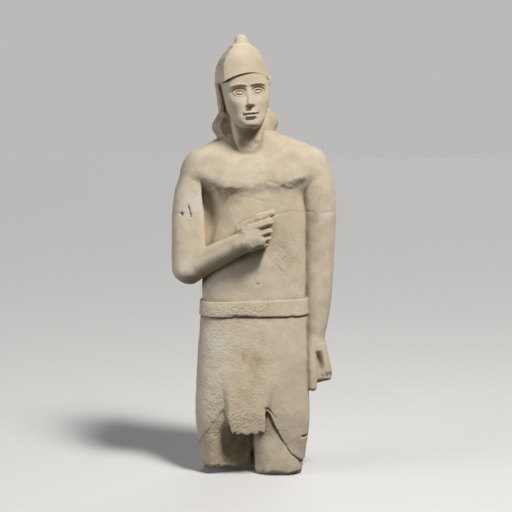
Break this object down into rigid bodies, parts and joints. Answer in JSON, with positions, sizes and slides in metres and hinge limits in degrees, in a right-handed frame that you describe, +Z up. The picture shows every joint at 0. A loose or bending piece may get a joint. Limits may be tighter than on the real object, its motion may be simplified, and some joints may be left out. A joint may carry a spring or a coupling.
{
  "type": "votive statuette",
  "caption": "Carved limestone figure of a standing man in a conical helmet, belt and kilt with an apron, fist on chest, broken off at the knees.",
  "frame": {"origin": "centre of the bounding box's footprint, on the flat of the broken underside that the figure stands on", "axes": "+Z up from the break at the knees to the tip of the helmet, -Y the way the figure's chest faces, +X towards the figure's left hand"},
  "size_m": [0.299, 0.1564, 0.7988],
  "materials": {
    "limestone": "carved, weathered and matte, with tool marks"
  },
  "bodies": {
    "root": {"statuette": "limestone"}
  },
  "joints": []
}
